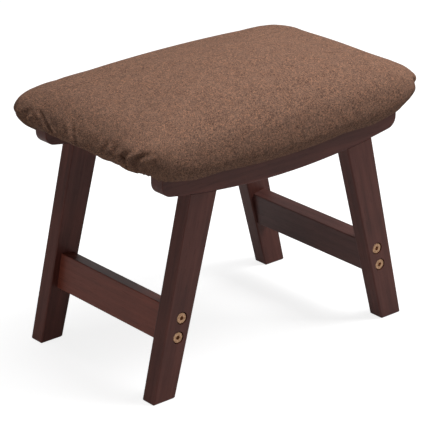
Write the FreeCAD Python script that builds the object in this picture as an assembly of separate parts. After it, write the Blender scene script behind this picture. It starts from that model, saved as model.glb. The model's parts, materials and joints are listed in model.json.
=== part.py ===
import FreeCAD, Part
import math
import os

# Saddle footstool: two side frames of an apron and two splayed legs, joined by two stretchers,
# under a padded seat. Millimetres, +Z up, the floor at Z 0, +X along the seat, the front at -Y.

# Frame
frame_half_width = 124.5
board_stock = 22.0

# Aprons
apron_underside = 246.2
apron_height = 23.5
apron_half_length = 188.5
apron_corner_radius = 15.0
apron_edge_round = 1.2
seat_curve_radius = 990.0

# Legs
foot_half_span = 206.8
foot_width = 33.8
leg_outer_angle = 13.1
leg_inner_angle = 15.0
leg_edge_round = 2.0
foot_chamfer = 1.5

# Stretchers
stretcher_center_height = 90.5
stretcher_height = 46.0
stretcher_thickness = 21.0
stretcher_inset = 3.0
stretcher_lean_angle = 10.5
stretcher_edge_round = 1.6

# Connector bolts and their threaded inserts
bolt_diameter = 6.0
bolt_length = 40.0
bolt_head_diameter = 14.0
bolt_head_height = 2.2
bolt_head_bevel = 0.5
bolt_spacing = 24.5
socket_across_flats = 5.0
socket_depth = 3.2
counterbore_diameter = 16.0
counterbore_depth = 3.0
bolt_hole_clearance = 0.3
bolt_tip_room = 3.0
insert_diameter = 10.0
insert_length = 14.0
insert_flange_diameter = 13.0
insert_flange_height = 1.5
insert_bore_clearance = 0.1

# Dowels between legs and aprons
dowel_diameter = 8.0
dowel_depth_in_apron = 12.0
dowel_depth_in_leg = 18.0
dowel_spacing = 17.0
dowel_chamfer = 0.8
glue_gap = 0.05

# Seat board
seat_board_thickness = 12.0
seat_board_edge_gap = 0.5

# Cushion, its shoulder's height taken over the seat curve's lowest line
cushion_end_overhang = 50.5
cushion_side_overhang = 18.5
cushion_corner_radius = 50.0
short_side_angle = 8.0
long_side_angle = 1.0
cushion_tuck = 17.0
cushion_end_tuck = 41.0
hem_end_angle = 1.0
cushion_side_rise = 21.5
shoulder_height = 76.4
shoulder_fall = 7.4
shoulder_inset = 36.0
cushion_crown = 11.0
fabric_thickness = 1.5
fabric_wrap = 33.0
loft_skirt = 12.0
loft_degree = 2

# Dust cover and staples under the seat
dust_cover_thickness = 0.8
dust_cover_lap = 10.0
dust_cover_side_gap = 1.0
staple_crown = 10.0
staple_leg = 6.0
staple_wire_width = 1.2
staple_wire_thickness = 0.6
staple_edge_distance = 5.0
staples_per_long_side = 7
staples_per_short_side = 4

# Seat screws
screw_half_spacing = 62.0
screw_diameter = 4.0
screw_head_diameter = 8.0
screw_head_height = 2.6
screw_well_diameter = 9.0
screw_well_depth = 8.0
screw_bite = 9.0
screw_hole_clearance = 0.1
screw_slot_across = 4.0
screw_slot_width = 0.8
screw_slot_depth = 1.4

cut_overrun = 5.0

# Shares of the cushion's side wall: how far in, how far up
lower_wall_shares = ((1.0, 0.0), (0.42, 0.4), (0.0, 1.0))
upper_wall_shares = ((0.18, 0.5), (0.64, 0.87), (1.0, 1.0))
crown_ring_shares = ((0.7, 0.48), (0.35, 0.86))
crown_cap_share = 0.08
inner_corner_share = 0.35

# Values that follow from the sizes above
x_axis = FreeCAD.Vector(1, 0, 0)
y_axis = FreeCAD.Vector(0, 1, 0)
z_axis = FreeCAD.Vector(0, 0, 1)
origin = FreeCAD.Vector(0, 0, 0)

seat_underside = apron_underside + apron_height
curve_center_height = seat_underside + seat_curve_radius
leg_lean_angle = (leg_outer_angle + leg_inner_angle) / 2
leg_outer_slope = math.tan(math.radians(leg_outer_angle))
leg_inner_slope = math.tan(math.radians(leg_inner_angle))
bolt_reach = counterbore_depth + bolt_length - board_stock
frame_inner_face = frame_half_width - board_stock
cushion_half_length = apron_half_length + cushion_end_overhang
cushion_half_width = frame_half_width + cushion_side_overhang
wide_reach = cushion_half_length + cut_overrun


def point(x, y, z):
    return FreeCAD.Vector(x, y, z)


def curve_height(x, radius):
    """Height of the seat curve of this radius, at x."""
    return curve_center_height - math.sqrt(radius ** 2 - x ** 2)


def curve_cylinder(radius, half_width):
    """The round solid whose underside is the seat curve, lying along Y."""
    base = point(0, -half_width, curve_center_height)
    return Part.makeCylinder(radius, 2 * half_width, base, y_axis)


def prism_along_y(corners, front, depth):
    """A straight-sided outline of (x, z) corners, made solid from y = front."""
    points = [point(x, front, z) for x, z in corners]
    face = Part.Face(Part.makePolygon(points + points[:1]))
    return face.extrude(y_axis * depth)


def edges_along(shape, direction, test):
    """Straight edges of the shape along a direction, whose middle passes the test."""
    found = []
    for edge in shape.Edges:
        first, last = edge.Vertexes[0].Point, edge.Vertexes[-1].Point
        span = last - first
        if span.Length and abs(abs(span.normalize().dot(direction)) - 1) < 1e-6:
            if test((first + last) * 0.5):
                found.append(edge)
    return found


def at_corner(shape, right, rear):
    """A front left piece, mirrored to the corner of the frame where it belongs."""
    placed = shape.mirror(origin, x_axis) if right else shape.copy()
    return placed.mirror(origin, y_axis) if rear else placed


def save(shape, name):
    solids = shape.Solids
    whole = solids[0] if len(solids) == 1 else Part.makeCompound(solids)
    whole.exportStep("parts/" + name + ".step")
    print(name, len(solids), "solid", round(whole.Volume), "mm3")


# Legs
def leg_middle(height):
    """Distance of the leg's middle line from the stool's middle, at a height."""
    outer = foot_half_span - height * leg_outer_slope
    inner = foot_half_span - foot_width - height * leg_inner_slope
    return (outer + inner) / 2


def lean_direction():
    """The way up a left leg, leaning towards the middle of the stool."""
    angle = math.radians(leg_lean_angle)
    return point(math.sin(angle), 0, math.cos(angle))


def bolt_centers():
    """Where the two bolts of a left leg pass, as (x, z), upper first."""
    middle = point(-leg_middle(stretcher_center_height) + stretcher_inset, 0, stretcher_center_height)
    step = lean_direction() * (bolt_spacing / 2)
    return [middle + step, middle - step]


def leg_blank():
    top = seat_underside
    corners = [(-foot_half_span, 0), (-foot_half_span + foot_width, 0),
               (-foot_half_span + foot_width + top * leg_inner_slope, top),
               (-foot_half_span + top * leg_outer_slope, top)]
    leg = prism_along_y(corners, -frame_half_width, board_stock)
    long_edges = [edge for edge in leg.Edges
                  if abs(edge.Vertexes[0].Point.z - edge.Vertexes[-1].Point.z) > apron_underside]
    leg = leg.makeFillet(leg_edge_round, long_edges)
    foot_edges = [edge for edge in leg.Edges if edge.BoundBox.ZMax < foot_chamfer / 2]
    leg = leg.makeChamfer(foot_chamfer, foot_edges)
    return leg.cut(curve_cylinder(seat_curve_radius + apron_height, frame_half_width + cut_overrun))


def cylinder_into(center, face_y, depth, diameter):
    """A round along +Y that starts cut_overrun before face_y and ends depth behind it."""
    base = point(center.x, face_y - cut_overrun, center.z)
    return Part.makeCylinder(diameter / 2, depth + cut_overrun, base, y_axis)


def make_leg(dowels):
    leg = leg_blank()
    for center in bolt_centers():
        leg = leg.cut(cylinder_into(center, -frame_half_width, counterbore_depth, counterbore_diameter))
        hole = cylinder_into(center, -frame_half_width, board_stock + cut_overrun,
                             bolt_diameter + 2 * bolt_hole_clearance)
        leg = leg.cut(hole)
    for dowel in dowels:
        leg = leg.cut(dowel)
    return leg


# Dowels of the left front leg, standing along the leg's lean
def dowel_places():
    """Joint points of the two dowels on the apron's underside, outer first."""
    top = leg_middle(apron_underside + dowel_depth_in_leg / 2)
    places = []
    for side in (-1, 1):
        x = -top + side * dowel_spacing / 2
        places.append(point(x, -frame_half_width + board_stock / 2,
                            curve_height(x, seat_curve_radius + apron_height)))
    return places


def make_dowel(place, gap):
    way = lean_direction()
    length = dowel_depth_in_leg + dowel_depth_in_apron + 2 * gap
    start = place - way * (dowel_depth_in_leg + gap)
    dowel = Part.makeCylinder(dowel_diameter / 2 + gap, length, start, way)
    if gap:
        return dowel
    rims = [edge for edge in dowel.Edges if len(edge.Vertexes) == 1]
    return dowel.makeChamfer(dowel_chamfer, rims)


# Aprons
def make_apron(dowel_holes, screw_holes):
    """The front apron: a board sawn to the seat curve, with round lower corners."""
    top = curve_height(apron_half_length, seat_curve_radius) + cut_overrun
    low = apron_underside
    corners = [(-apron_half_length, low), (apron_half_length, low),
               (apron_half_length, top), (-apron_half_length, top)]
    block = prism_along_y(corners, -frame_half_width, board_stock)
    reach = frame_half_width + cut_overrun
    apron = block.common(curve_cylinder(seat_curve_radius + apron_height, reach))
    apron = apron.cut(curve_cylinder(seat_curve_radius, reach))
    middle_height = curve_height(apron_half_length, seat_curve_radius + apron_height / 2)
    lower_corners = edges_along(apron, y_axis, lambda middle: middle.z < middle_height)
    apron = apron.makeFillet(apron_corner_radius, lower_corners)
    lower_edges = [edge for edge in apron.Edges
                   if edge.BoundBox.YLength < board_stock / 2 and edge.BoundBox.ZMin < middle_height
                   and edge.BoundBox.ZMax < middle_height]
    apron = apron.makeFillet(apron_edge_round, lower_edges)
    return apron.cut(Part.makeCompound(dowel_holes)).cut(Part.makeCompound(screw_holes))


# Stretchers
def make_stretcher(sockets):
    """The left stretcher, leaning a little less than the legs, between their inner faces."""
    center = point(-leg_middle(stretcher_center_height) + stretcher_inset, 0, stretcher_center_height)
    box = Part.makeBox(stretcher_thickness, 2 * frame_inner_face, stretcher_height,
                       point(-stretcher_thickness / 2, -frame_inner_face, -stretcher_height / 2))
    long_edges = edges_along(box, y_axis, lambda middle: True)
    box = box.makeFillet(stretcher_edge_round, long_edges)
    box.rotate(origin, y_axis, stretcher_lean_angle)
    box.translate(center)
    return box.cut(Part.makeCompound(sockets))


# Hardware, made at the front left corner
def make_bolt(center):
    seat_y = -frame_half_width + counterbore_depth
    radius = bolt_head_diameter / 2
    head = Part.makeCylinder(radius, bolt_head_height, point(center.x, seat_y, center.z), -y_axis)
    outer_rim = [edge for edge in head.Edges
                 if len(edge.Vertexes) == 1 and edge.BoundBox.YMax < seat_y - bolt_head_height / 2]
    head = head.makeChamfer(bolt_head_bevel, outer_rim)
    shank = Part.makeCylinder(bolt_diameter / 2, bolt_length, point(center.x, seat_y, center.z), y_axis)
    tip_rim = [edge for edge in shank.Edges
               if len(edge.Vertexes) == 1 and edge.BoundBox.YMin > seat_y + bolt_length / 2]
    shank = shank.makeChamfer(bolt_head_bevel, tip_rim)
    bolt = head.fuse(shank)
    corner_radius = socket_across_flats / 2 / math.cos(math.pi / 6)
    outer_y = seat_y - bolt_head_height
    corners = []
    for turn in range(6):
        angle = math.pi / 3 * turn
        corners.append((center.x + corner_radius * math.cos(angle),
                        center.z + corner_radius * math.sin(angle)))
    socket = prism_along_y(corners, outer_y - cut_overrun, cut_overrun + socket_depth)
    return bolt.cut(socket).removeSplitter()


def make_insert(center):
    """A flanged threaded insert, flush in the end grain of the stretcher."""
    face = point(center.x, -frame_inner_face, center.z)
    body = Part.makeCylinder(insert_diameter / 2, insert_length, face, y_axis)
    flange = Part.makeCylinder(insert_flange_diameter / 2, insert_flange_height, face, y_axis)
    bore = cylinder_into(center, -frame_inner_face, insert_length + cut_overrun,
                         bolt_diameter + 2 * insert_bore_clearance)
    return body.fuse(flange).cut(bore)


def insert_socket(center):
    """What is bored out of the stretcher's end for an insert and the bolt's tip."""
    flange = cylinder_into(center, -frame_inner_face, insert_flange_height,
                           insert_flange_diameter + 2 * glue_gap)
    body = cylinder_into(center, -frame_inner_face, insert_length, insert_diameter + 2 * glue_gap)
    tip = cylinder_into(center, -frame_inner_face, bolt_reach + bolt_tip_room,
                        bolt_diameter + 2 * bolt_hole_clearance)
    return flange.fuse(body).fuse(tip)


def make_screw(side):
    """A seat screw of the front apron, head down in its well."""
    x = side * screw_half_spacing
    y = -frame_half_width + board_stock / 2
    seat_z = curve_height(x, seat_curve_radius + apron_height) + screw_well_depth
    length = curve_height(x, seat_curve_radius) - seat_z + fabric_thickness + screw_bite
    head = Part.makeCylinder(screw_head_diameter / 2, screw_head_height, point(x, y, seat_z), -z_axis)
    shank = Part.makeCylinder(screw_diameter / 2, length, point(x, y, seat_z), z_axis)
    screw = head.fuse(shank)
    for turn in (0, 90):
        arm = Part.makeBox(screw_slot_across, screw_slot_width, screw_slot_depth,
                           point(-screw_slot_across / 2, -screw_slot_width / 2, 0))
        arm.rotate(origin, z_axis, turn)
        arm.translate(point(x, y, seat_z - screw_head_height))
        screw = screw.cut(arm)
    return screw


def screw_hole(side):
    """The screw's well and hole up through the front apron, into the seat board."""
    x = side * screw_half_spacing
    y = -frame_half_width + board_stock / 2
    low = curve_height(x, seat_curve_radius + apron_height)
    top = curve_height(x, seat_curve_radius) + fabric_thickness + screw_bite
    well = Part.makeCylinder(screw_well_diameter / 2, cut_overrun + screw_well_depth,
                             point(x, y, low - cut_overrun), z_axis)
    hole = Part.makeCylinder(screw_diameter / 2 + screw_hole_clearance,
                             top + screw_hole_clearance - low, point(x, y, low), z_axis)
    return well.fuse(hole)


# Cushion outline and rings
def outline_wire(inset, share, height_at, tuck_share=0):
    """A closed ring of gentle side arcs and corner arcs that meet without a kink.

    A tuck_share of 1 draws its ends in and straightens them as at the hem.
    """
    end_inset = inset + (cushion_end_tuck - cushion_tuck) * tuck_share
    short_turn = math.radians(short_side_angle + (hem_end_angle - short_side_angle) * tuck_share)
    long_turn = math.radians(long_side_angle)
    radius = cushion_corner_radius - inset * inner_corner_share
    center_y = cushion_half_width - inset - radius * math.cos(long_turn)
    half_chord_y = center_y + radius * math.sin(short_turn)
    short_bow = half_chord_y * math.tan(short_turn / 2)
    center_x = cushion_half_length - end_inset - radius * math.cos(short_turn) - short_bow
    half_chord_x = center_x + radius * math.sin(long_turn)
    long_bow = half_chord_x * math.tan(long_turn / 2)
    center_y -= long_bow
    middle_turn = (math.pi / 2 + short_turn - long_turn) / 2
    quarter = [(0, center_y + radius * math.cos(long_turn) + long_bow)]
    for angle in (math.pi / 2 - long_turn, middle_turn, short_turn):
        quarter.append((center_x + radius * math.cos(angle), center_y + radius * math.sin(angle)))
    quarter.append((center_x + radius * math.cos(short_turn) + short_bow, 0))
    places = quarter[1:] + [(x, -y) for x, y in quarter[3:0:-1]]
    places += [(-x, -y) for x, y in quarter] + [(-x, y) for x, y in quarter[3:0:-1]]
    places.append(quarter[0])
    points = [point(x * share, y * share, height_at(x * share)) for x, y in places]
    points.append(points[0])
    edges = []
    for first in range(0, len(points) - 1, 2):
        edges.append(Part.Arc(*points[first:first + 3]).toShape())
    return Part.Wire(edges)


def cushion_form(skin):
    """The whole cushion over its hem, drawn in by a skin thickness on every side."""
    def hem(x):
        return curve_height(x, seat_curve_radius - skin)

    middle_shoulder = seat_underside + shoulder_height - skin

    def shoulder(x):
        return middle_shoulder - shoulder_fall * (x / cushion_half_length) ** 2

    def level(low, high, share):
        return lambda x: low(x) + (high(x) - low(x)) * share

    def widest(x):
        return hem(x) + cushion_side_rise - skin

    rings = [outline_wire(cushion_tuck + skin, 1, lambda x: seat_underside - loft_skirt, 1)]
    for inset_share, rise_share in lower_wall_shares:
        inset = skin + cushion_tuck * inset_share
        rings.append(outline_wire(inset, 1, level(hem, widest, rise_share), inset_share))
    for inset_share, rise_share in upper_wall_shares:
        inset = skin + shoulder_inset * inset_share
        rings.append(outline_wire(inset, 1, level(widest, shoulder, rise_share)))
    for ring_share, rise_share in crown_ring_shares:
        rise = cushion_crown * rise_share
        rings.append(outline_wire(skin + shoulder_inset, ring_share, lambda x, rise=rise: shoulder(x) + rise))
    cap_height = middle_shoulder + cushion_crown
    rings.append(outline_wire(skin + shoulder_inset, crown_cap_share, lambda x: cap_height))
    form = Part.makeLoft(rings, True, False, False, loft_degree)
    return form.common(curve_cylinder(seat_curve_radius - skin, cushion_half_width + cut_overrun))


def curved_slab(outline, top_radius, thickness):
    """A sheet of even thickness that follows the seat curve, cut to an outline."""
    block = Part.Face(outline).extrude(z_axis * (curve_height(wide_reach, top_radius) - apron_underside))
    reach = cushion_half_width + cut_overrun
    return block.common(curve_cylinder(top_radius + thickness, reach)).cut(curve_cylinder(top_radius, reach))


def low_outline(inset):
    return outline_wire(inset, 1, lambda x: apron_underside, 1)


def low_rectangle(half_length, half_width):
    corners = [point(-half_length, -half_width, apron_underside), point(half_length, -half_width, apron_underside),
               point(half_length, half_width, apron_underside), point(-half_length, half_width, apron_underside)]
    return Part.makePolygon(corners + corners[:1])


# Staples through the dust cover into the seat board
def staple_at(x, y, along_x):
    lower = curve_height(x, seat_curve_radius + dust_cover_thickness)
    crown = Part.makeBox(staple_crown, staple_wire_width, staple_wire_thickness,
                         point(-staple_crown / 2, -staple_wire_width / 2, -staple_wire_thickness))
    staple = crown
    for side in (-1, 1):
        start = side * (staple_crown - staple_wire_thickness) / 2 - staple_wire_thickness / 2
        leg = Part.makeBox(staple_wire_thickness, staple_wire_width, staple_leg,
                           point(start, -staple_wire_width / 2, 0))
        staple = staple.fuse(leg)
    staple = staple.removeSplitter()
    if not along_x:
        staple.rotate(origin, z_axis, 90)
    staple.rotate(origin, y_axis, -math.degrees(math.asin(x / seat_curve_radius)))
    staple.translate(point(x, y, lower))
    return staple


def make_staples(half_length, half_width):
    staples = []
    line_x = half_length - staple_edge_distance
    line_y = half_width - staple_edge_distance
    for number in range(staples_per_long_side):
        x = line_x * 2 * (number - (staples_per_long_side - 1) / 2) / staples_per_long_side
        for side in (-1, 1):
            staples.append(staple_at(x, side * line_y, True))
    for number in range(staples_per_short_side):
        y = line_y * 2 * (number - (staples_per_short_side - 1) / 2) / staples_per_short_side
        for side in (-1, 1):
            staples.append(staple_at(side * line_x, y, False))
    return staples


# Build
os.makedirs("parts", exist_ok=True)

centers = bolt_centers()
dowel_holes = [make_dowel(place, glue_gap) for place in dowel_places()]
dowels = [make_dowel(place, 0) for place in dowel_places()]
screws = [make_screw(side) for side in (-1, 1)]
screw_holes = [screw_hole(side) for side in (-1, 1)]

leg = make_leg(dowel_holes)
for rear, end_name in ((False, "front"), (True, "rear")):
    for right, side_name in ((False, "left"), (True, "right")):
        corner_name = end_name + "_" + side_name
        save(at_corner(leg, right, rear), "leg_" + corner_name)
        for center, level_name in zip(centers, ("upper", "lower")):
            save(at_corner(make_bolt(center), right, rear), "bolt_" + corner_name + "_" + level_name)
            save(at_corner(make_insert(center), right, rear), "insert_" + corner_name + "_" + level_name)
        for dowel, place_name in zip(dowels, ("outer", "inner")):
            save(at_corner(dowel, right, rear), "dowel_" + corner_name + "_" + place_name)

all_dowel_holes = dowel_holes + [at_corner(hole, True, False) for hole in dowel_holes]
apron = make_apron(all_dowel_holes, screw_holes)
save(apron, "front_apron")
save(at_corner(apron, False, True), "rear_apron")

sockets = [insert_socket(center) for center in centers]
stretcher = make_stretcher(sockets + [at_corner(socket, False, True) for socket in sockets])
save(stretcher, "stretcher_left")
save(at_corner(stretcher, True, False), "stretcher_right")

for screw, side_name in zip(screws, ("left", "right")):
    save(screw, "seat_screw_front_" + side_name)
    save(at_corner(screw, False, True), "seat_screw_rear_" + side_name)

opening_half_length = cushion_half_length - cushion_end_tuck - fabric_wrap
opening_half_width = cushion_half_width - cushion_tuck - fabric_wrap
dust_half_length = opening_half_length + dust_cover_lap
dust_half_width = frame_inner_face - dust_cover_side_gap
staples = Part.makeCompound(make_staples(dust_half_length, dust_half_width))
seat_screw_holes = Part.makeCompound(screw_holes + [at_corner(hole, False, True) for hole in screw_holes])

board = curved_slab(low_outline(cushion_tuck + fabric_thickness + seat_board_edge_gap),
                    seat_curve_radius - fabric_thickness - seat_board_thickness, seat_board_thickness)
core = cushion_form(fabric_thickness)
foam = core.cut(board)
cover = cushion_form(0).cut(core)
opening = Part.Face(low_rectangle(opening_half_length, opening_half_width))
opening = opening.extrude(z_axis * (2 * apron_height + cut_overrun))
cover = cover.cut(opening).cut(seat_screw_holes).cut(staples)
dust_cover = curved_slab(low_rectangle(dust_half_length, dust_half_width), seat_curve_radius, dust_cover_thickness)

save(board.cut(seat_screw_holes).cut(staples), "seat_board")
save(foam, "foam_pad")
save(cover, "fabric_cover")
save(dust_cover.cut(staples), "dust_cover")
save(staples, "staples")
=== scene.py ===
# Saddle footstool with a padded seat. Metres, +Z up, the front long side at -Y.
import json
import math

import bmesh
import bpy
import numpy as np
from mathutils import Matrix, Vector

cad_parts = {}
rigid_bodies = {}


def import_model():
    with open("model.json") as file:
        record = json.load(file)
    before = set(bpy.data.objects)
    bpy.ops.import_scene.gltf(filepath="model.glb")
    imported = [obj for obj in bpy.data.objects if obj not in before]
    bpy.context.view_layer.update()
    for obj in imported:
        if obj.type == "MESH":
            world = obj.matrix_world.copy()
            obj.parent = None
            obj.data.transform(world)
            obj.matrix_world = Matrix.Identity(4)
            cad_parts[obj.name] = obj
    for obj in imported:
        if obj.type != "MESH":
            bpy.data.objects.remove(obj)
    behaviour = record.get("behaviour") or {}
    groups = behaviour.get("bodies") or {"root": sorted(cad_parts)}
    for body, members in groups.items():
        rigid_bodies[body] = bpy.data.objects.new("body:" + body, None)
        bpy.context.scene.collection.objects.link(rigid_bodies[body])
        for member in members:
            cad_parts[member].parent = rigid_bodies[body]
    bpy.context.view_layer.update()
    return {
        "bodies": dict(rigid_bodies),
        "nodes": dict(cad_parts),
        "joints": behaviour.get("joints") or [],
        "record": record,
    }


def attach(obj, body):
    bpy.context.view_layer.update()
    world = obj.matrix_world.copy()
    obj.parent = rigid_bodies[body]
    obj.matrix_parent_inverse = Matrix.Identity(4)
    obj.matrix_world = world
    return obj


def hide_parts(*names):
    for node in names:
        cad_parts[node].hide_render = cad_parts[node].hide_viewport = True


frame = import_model()
nodes = frame["nodes"]
print("frame loaded:", len(nodes), "nodes")


# Small helpers for node trees
def feed(tree, socket, value):
    if isinstance(value, bpy.types.NodeSocket):
        tree.links.new(value, socket)
    else:
        socket.default_value = value


def addNode(tree, kind, inputs=None, **settings):
    node = tree.nodes.new(kind)
    for name, value in settings.items():
        setattr(node, name, value)
    for key, value in (inputs or {}).items():
        feed(tree, node.inputs[key], value)
    return node


def math2(tree, operation, first, second=0.0, third=0.0):
    node = addNode(tree, "ShaderNodeMath", {0: first, 1: second, 2: third}, operation=operation)
    return node.outputs[0]


def mixColor(tree, factor, first, second, blend="MIX"):
    node = addNode(tree, "ShaderNodeMix", data_type="RGBA", blend_type=blend)
    for index, value in ((0, factor), (6, first), (7, second)):
        feed(tree, node.inputs[index], value)
    return node.outputs[2]


def noiseAt(tree, vector, scale, detail=2.0, rough=0.5):
    return addNode(tree, "ShaderNodeTexNoise",
                   {"Vector": vector, "Scale": scale, "Detail": detail, "Roughness": rough}).outputs[0]


def spread(tree, value, low, high, toLow=0.0, toHigh=1.0):
    return addNode(tree, "ShaderNodeMapRange", {0: value, 1: low, 2: high, 3: toLow, 4: toHigh}).outputs[0]


def colorRamp(tree, value, stops):
    node = addNode(tree, "ShaderNodeValToRGB", {0: value})
    elements = node.color_ramp.elements
    while len(elements) < len(stops):
        elements.new(0.5)
    for element, (place, color) in zip(elements, stops):
        element.position, element.color = place, (*color, 1)
    return node.outputs[0]


def newGroup(name, inputs, outputs):
    group = bpy.data.node_groups.new(name, "ShaderNodeTree")
    for label, kind, value in inputs:
        socket = group.interface.new_socket(name=label, in_out="INPUT", socket_type=kind)
        if value is not None:
            socket.default_value = value
    for label, kind in outputs:
        group.interface.new_socket(name=label, in_out="OUTPUT", socket_type=kind)
    return group, group.nodes.new("NodeGroupInput").outputs, group.nodes.new("NodeGroupOutput").inputs


def newMaterial(name):
    material = bpy.data.materials.new(name)
    material.use_nodes = True
    tree = material.node_tree
    return material, tree, tree.nodes["Principled BSDF"]


def placeGroup(tree, group, inputs):
    node = addNode(tree, "ShaderNodeGroup", node_tree=group)
    for name, value in inputs.items():
        feed(tree, node.inputs[name], value)
    return node.outputs


# Wood grain along X of the vector it is given, in metres
def buildGrainGroup():
    group, given, out = newGroup("woodGrain", [
        ("Vector", "NodeSocketVector", None), ("Dark", "NodeSocketColor", (0.03, 0.012, 0.01, 1)),
        ("Light", "NodeSocketColor", (0.1, 0.05, 0.04, 1)), ("Streak Scale", "NodeSocketFloat", 150.0),
        ("Gloss", "NodeSocketFloat", 0.4)],
        [("Color", "NodeSocketColor"), ("Roughness", "NodeSocketFloat"), ("Height", "NodeSocketFloat")])
    flow = addNode(group, "ShaderNodeMapping",
                   {"Vector": given["Vector"], "Scale": (0.05, 1, 1)}).outputs[0]
    wander = noiseAt(group, flow, 60.0, 2)
    shift = addNode(group, "ShaderNodeCombineXYZ", {1: math2(group, "MULTIPLY", wander, 0.006)}).outputs[0]
    bent = addNode(group, "ShaderNodeVectorMath", {0: flow, 1: shift}).outputs[0]
    streak = noiseAt(group, bent, given["Streak Scale"], 5, 0.6)
    poreFlow = addNode(group, "ShaderNodeMapping",
                       {"Vector": given["Vector"], "Scale": (0.03, 1, 1)}).outputs[0]
    pores = noiseAt(group, poreFlow, 1700.0, 2)
    cloud = noiseAt(group, given["Vector"], 14.0, 2)
    tone = math2(group, "MULTIPLY_ADD", cloud, 0.5, math2(group, "MULTIPLY", streak, 0.75))
    color = mixColor(group, spread(group, tone, 0.42, 0.85), given["Dark"], given["Light"])
    poreMask = spread(group, pores, 0.36, 0.3)
    dark = mixColor(group, math2(group, "MULTIPLY", poreMask, 0.5), color, (0.012, 0.006, 0.005, 1))
    group.links.new(dark, out["Color"])
    shine = math2(group, "MULTIPLY_ADD", math2(group, "SUBTRACT", cloud, 0.5), 0.12, given["Gloss"])
    group.links.new(math2(group, "MULTIPLY_ADD", poreMask, 0.15, shine), out["Roughness"])
    group.links.new(math2(group, "MULTIPLY_ADD", poreMask, -0.6, streak), out["Height"])
    return group


# Plain weave of mixed yarns, over a vector measured along the cloth in metres
def buildWeaveGroup():
    group, given, out = newGroup("mixedWeave", [
        ("Vector", "NodeSocketVector", None), ("Pitch", "NodeSocketFloat", 0.0015),
        ("Base", "NodeSocketColor", (0.27, 0.155, 0.11, 1)), ("Fleck", "NodeSocketFloat", 1.0)],
        [("Color", "NodeSocketColor"), ("Roughness", "NodeSocketFloat"), ("Height", "NodeSocketFloat")])
    split = addNode(group, "ShaderNodeSeparateXYZ", {0: given["Vector"]}).outputs
    across = math2(group, "DIVIDE", split[0], given["Pitch"])
    along = math2(group, "DIVIDE", split[1], given["Pitch"])
    cellAcross, cellAlong = math2(group, "FLOOR", across), math2(group, "FLOOR", along)
    over = math2(group, "FLOORED_MODULO", math2(group, "ADD", cellAcross, cellAlong), 2.0)
    domes = [math2(group, "SINE", math2(group, "MULTIPLY", math2(group, "FRACT", value), math.pi))
             for value in (across, along)]

    def yarnTone(cell, run, shift):
        stagger = math2(group, "MULTIPLY", cell, 0.73)
        piece = math2(group, "FLOOR", math2(group, "MULTIPLY_ADD", run, 0.55, stagger))
        cellVector = addNode(group, "ShaderNodeCombineXYZ", {0: cell, 1: piece, 2: shift}).outputs[0]
        return addNode(group, "ShaderNodeTexWhiteNoise", {"Vector": cellVector}).outputs[0]

    warp, weft = yarnTone(cellAcross, along, 1.0), yarnTone(cellAlong, across, 7.0)
    yarn = addNode(group, "ShaderNodeMix", {0: over, 2: warp, 3: weft}).outputs[0]
    fibre = noiseAt(group, given["Vector"], 2600.0, 3, 0.7)
    blotch = noiseAt(group, given["Vector"], 45.0, 3)
    tone = math2(group, "MULTIPLY_ADD", math2(group, "SUBTRACT", fibre, 0.5), 0.5,
                 math2(group, "MULTIPLY", yarn, given["Fleck"]))
    shades = colorRamp(group, tone, [(0.0, (0.36, 0.35, 0.37)), (0.3, (0.78, 0.77, 0.78)),
                                     (0.72, (1.1, 1.09, 1.07)), (1.0, (1.8, 1.6, 1.38))])
    color = mixColor(group, 1.0, given["Base"], shades, "MULTIPLY")
    cloudy = spread(group, blotch, 0.3, 0.75, 0.0, 0.06)
    soft = mixColor(group, cloudy, color, (0.5, 0.36, 0.28, 1))
    group.links.new(soft, out["Color"])
    lowDome, highDome = (math2(group, "MULTIPLY_ADD", dome, 0.4, 0.6) for dome in domes)
    warpHeight = math2(group, "MULTIPLY", domes[0], highDome)
    weftHeight = math2(group, "MULTIPLY", domes[1], lowDome)
    crossHeight = addNode(group, "ShaderNodeMix", {0: over, 2: warpHeight, 3: weftHeight}).outputs[0]
    group.links.new(math2(group, "MULTIPLY_ADD", fibre, 0.5, crossHeight), out["Height"])
    group.links.new(spread(group, fibre, 0.2, 0.8, 0.84, 0.98), out["Roughness"])
    return group


# Uneven dulling of metal, as lacquer and handling leave it
def buildPatinaGroup():
    group, given, out = newGroup("metalPatina", [
        ("Vector", "NodeSocketVector", None), ("Bright", "NodeSocketColor", (0.5, 0.33, 0.17, 1)),
        ("Dull", "NodeSocketColor", (0.12, 0.07, 0.04, 1)), ("Amount", "NodeSocketFloat", 0.5),
        ("Gloss", "NodeSocketFloat", 0.3)],
        [("Color", "NodeSocketColor"), ("Roughness", "NodeSocketFloat"), ("Height", "NodeSocketFloat")])
    cloud = noiseAt(group, given["Vector"], 420.0, 4, 0.6)
    mask = math2(group, "MULTIPLY", spread(group, cloud, 0.35, 0.7), given["Amount"])
    group.links.new(mixColor(group, mask, given["Bright"], given["Dull"]), out["Color"])
    group.links.new(math2(group, "MULTIPLY_ADD", mask, 0.3, given["Gloss"]), out["Roughness"])
    group.links.new(noiseAt(group, given["Vector"], 2500.0, 2), out["Height"])
    return group


grainGroup, weaveGroup, patinaGroup = buildGrainGroup(), buildWeaveGroup(), buildPatinaGroup()


def bumpFrom(tree, height, strength, distance):
    return addNode(tree, "ShaderNodeBump",
                   {"Height": height, "Strength": strength, "Distance": distance}).outputs[0]


def finishShader(tree, shader, outputs, strength, distance):
    tree.links.new(outputs["Color"], shader.inputs["Base Color"])
    tree.links.new(outputs["Roughness"], shader.inputs["Roughness"])
    tree.links.new(bumpFrom(tree, outputs["Height"], strength, distance), shader.inputs["Normal"])


woodStain = {"dark": (0.085, 0.026, 0.02, 1), "light": (0.175, 0.057, 0.043, 1), "gloss": 0.42,
             "specular": 0.26, "coat": 0.04, "coatRoughness": 0.3}


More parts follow.
